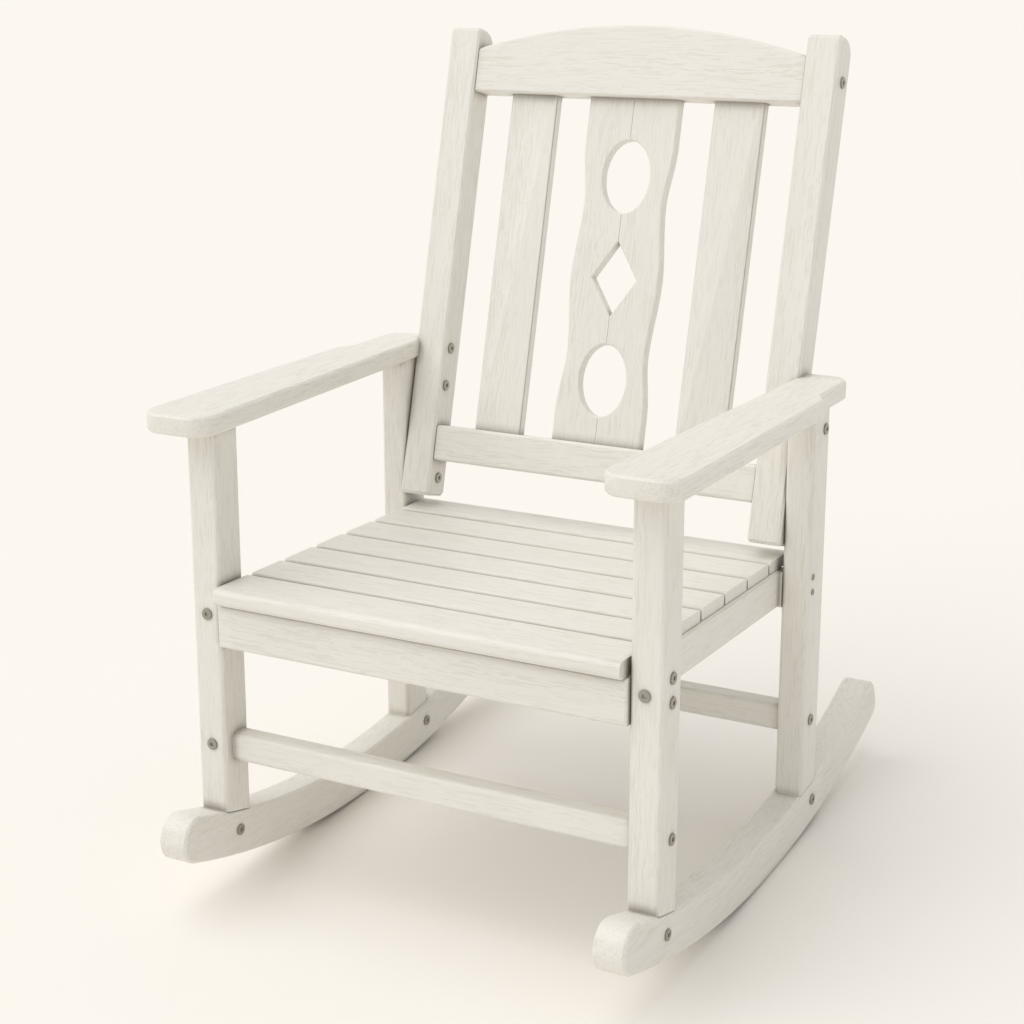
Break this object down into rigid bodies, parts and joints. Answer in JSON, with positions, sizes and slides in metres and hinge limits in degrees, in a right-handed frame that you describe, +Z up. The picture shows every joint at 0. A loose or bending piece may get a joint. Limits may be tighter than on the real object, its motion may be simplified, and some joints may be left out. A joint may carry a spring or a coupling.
{
  "type": "rocking adirondack chair",
  "caption": "Outdoor rocking armchair with a slatted seat, a tall reclined back with a pierced centre splat under an arched rail, and curved runners.",
  "frame": {"origin": "on the floor, midway between the rockers, under the line that the rockers stand on", "axes": "+X across the seat towards the sitter's left as one faces the chair's front, +Y from the front to the back, +Z up"},
  "size_m": [0.71, 0.8212, 1.0262],
  "materials": {
    "boards": "solid-coloured plastic lumber with an embossed wood grain",
    "fixings": "plain stainless steel"
  },
  "bodies": {
    "root": {"left_rocker": "boards", "right_rocker": "boards", "left_front_leg": "boards", "right_front_leg": "boards", "left_rear_leg": "boards", "right_rear_leg": "boards", "left_armrest": "boards", "right_armrest": "boards", "left_back_post": "boards", "right_back_post": "boards", "left_seat_rail": "boards", "right_seat_rail": "boards", "left_back_slat": "boards", "right_back_slat": "boards", "left_splat_half": "boards", "right_splat_half": "boards", "lower_back_rail": "boards", "crest_rail": "boards", "front_apron": "boards", "rear_seat_rail": "boards", "front_stretcher": "boards", "rear_stretcher": "boards", "seat_slat_1": "boards", "seat_slat_2": "boards", "seat_slat_3": "boards", "seat_slat_4": "boards", "seat_slat_5": "boards", "seat_slat_6": "boards", "seat_slat_7": "boards", "rocker_bolts": "fixings", "rocker_sleeve_nuts": "fixings", "side_rail_bolts": "fixings", "stretcher_bolts": "fixings", "apron_pin_bolts": "fixings", "rear_rail_screws": "fixings", "post_through_bolts": "fixings", "post_sleeve_nuts": "fixings", "arm_bolts": "fixings", "low_post_bolts": "fixings", "crest_bolts": "fixings", "stretcher_pin_bolt": "fixings"}
  },
  "joints": []
}
